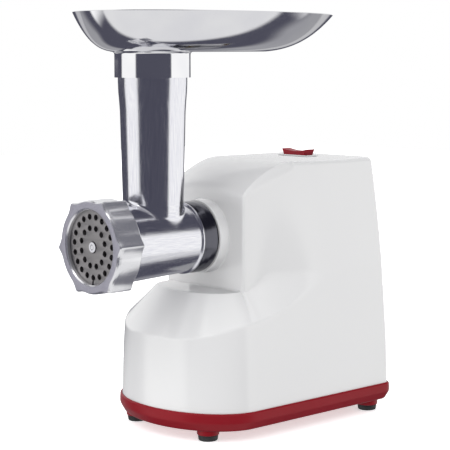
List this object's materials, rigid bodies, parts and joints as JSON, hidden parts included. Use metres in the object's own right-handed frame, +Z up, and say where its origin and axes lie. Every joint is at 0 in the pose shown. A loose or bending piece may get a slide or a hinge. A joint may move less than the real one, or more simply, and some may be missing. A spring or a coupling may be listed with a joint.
{
  "type": "electric meat grinder",
  "caption": "Table-top electric meat grinder: metal grinding head with ring nut, perforated plate and oval hopper tray, on a geared motor in a white plastic housing.",
  "frame": {"origin": "on the floor under the middle of the grinder's footprint, with its rubber feet at z = 0", "axes": "+Z up; the cutting plate and ring nut face -Y; +X is the operator's right when looking along +Y at the plate"},
  "size_m": [0.1654, 0.2817, 0.3504],
  "materials": {
    "white_plastic": "glossy moulded ABS",
    "red_plastic": "dark red moulded ABS, satin gloss",
    "rubber": "matt black rubber",
    "polished_aluminium": "polished cast aluminium",
    "tray_aluminium": "mirror polished sheet",
    "plate_steel": "ground steel, matt",
    "steel": "machined steel",
    "core_steel": "stacked electrical steel",
    "cast_alloy": "as-cast alloy",
    "nylon": "natural nylon",
    "brass": "turned brass or bronze",
    "copper": "enamelled copper",
    "carbon": "pressed carbon"
  },
  "bodies": {
    "body": {"housing_shell": "white_plastic", "base_tray": "red_plastic", "foot_front_left": "rubber", "foot_front_right": "rubber", "foot_back_left": "rubber", "foot_back_right": "rubber", "switch_frame": "white_plastic", "lock_spring": "steel", "cord_gland": "rubber", "coupling_bush": "brass", "gear_case": "cast_alloy", "gear_cover": "cast_alloy", "stator_core": "core_steel", "field_coil_upper": "copper", "field_coil_lower": "copper", "motor_bracket_front": "cast_alloy", "motor_bracket_rear": "cast_alloy", "bearing_front": "steel", "bearing_rear": "steel", "motor_bolt_upper": "steel", "motor_bolt_lower": "steel", "brush_left": "carbon", "brush_right": "carbon", "brush_holder_left": "brass", "brush_holder_right": "brass"},
    "rocker": {"switch_rocker": "red_plastic"},
    "button": {"lock_button": "red_plastic"},
    "drive": {"output_gear": "nylon", "drive_coupling": "steel"},
    "idler_2": {"idler_gear_2": "nylon", "idler_pinion_2": "steel"},
    "idler_1": {"idler_gear_1": "nylon", "idler_pinion_1": "steel"},
    "rotor": {"rotor_shaft": "steel", "rotor_core": "core_steel", "commutator": "copper", "cooling_fan": "nylon"},
    "head": {"grinder_head": "polished_aluminium", "plate_locator": "steel", "auger_bush": "nylon"},
    "tray": {"hopper_tray": "tray_aluminium"},
    "screw": {"auger": "polished_aluminium", "auger_drive_tail": "nylon", "knife": "steel"},
    "plate": {"cutting_plate": "plate_steel"},
    "ring": {"ring_nut": "polished_aluminium"}
  },
  "joints": [
    {"name": "rocker_tilt", "type": "hinge", "parent": "body", "child": "rocker", "pos_m": [0, 0.097, 0.217], "axis": [0, 1, 0], "range_deg": [-10, 10]},
    {"name": "button_press", "type": "slide", "parent": "body", "child": "button", "axis": [0, 1, 0], "range_m": [0, 0.004], "stiffness_N_per_m": 500, "springref_m": -0.004, "deforming": ["lock_spring"]},
    {"name": "rotor_spin", "type": "hinge", "parent": "body", "child": "rotor", "pos_m": [0, 0.038, 0.07259], "axis": [0, 1, 0], "continuous": true},
    {"name": "idler_1_spin", "type": "hinge", "parent": "body", "child": "idler_1", "pos_m": [-0.00143, 0.029, 0.09655], "axis": [0, 1, 0], "continuous": true},
    {"name": "idler_2_spin", "type": "hinge", "parent": "body", "child": "idler_2", "pos_m": [-0.01411, 0.017, 0.12374], "axis": [0, 1, 0], "continuous": true},
    {"name": "drive_spin", "type": "hinge", "parent": "body", "child": "drive", "pos_m": [0, 0.017, 0.1625], "axis": [0, 1, 0], "continuous": true},
    {"name": "head_pull", "type": "slide", "parent": "body", "child": "head", "axis": [0, -1, 0], "range_m": [0, 0.075]},
    {"name": "tray_lift", "type": "slide", "parent": "head", "child": "tray", "axis": [0, 0, 1], "range_m": [0, 0.06]},
    {"name": "auger_spin", "type": "hinge", "parent": "head", "child": "screw", "pos_m": [0, -0.08, 0.1625], "axis": [0, 1, 0], "continuous": true},
    {"name": "plate_travel", "type": "slide", "parent": "head", "child": "plate", "axis": [0, -1, 0], "range_m": [0, 0.012]},
    {"name": "ring_turn", "type": "hinge", "parent": "plate", "child": "ring", "pos_m": [0, -0.1268, 0.1625], "axis": [0, -1, 0], "range_deg": [0, 1080]}
  ],
  "couplings": [
    {"joint": "idler_1_spin", "follows": "rotor_spin", "ratio": -0.25},
    {"joint": "idler_2_spin", "follows": "rotor_spin", "ratio": 0.0625},
    {"joint": "drive_spin", "follows": "rotor_spin", "ratio": -0.013889},
    {"joint": "auger_spin", "follows": "rotor_spin", "ratio": -0.013889},
    {"joint": "plate_travel", "follows": "ring_turn", "m_per_rad": 0.00063662}
  ]
}
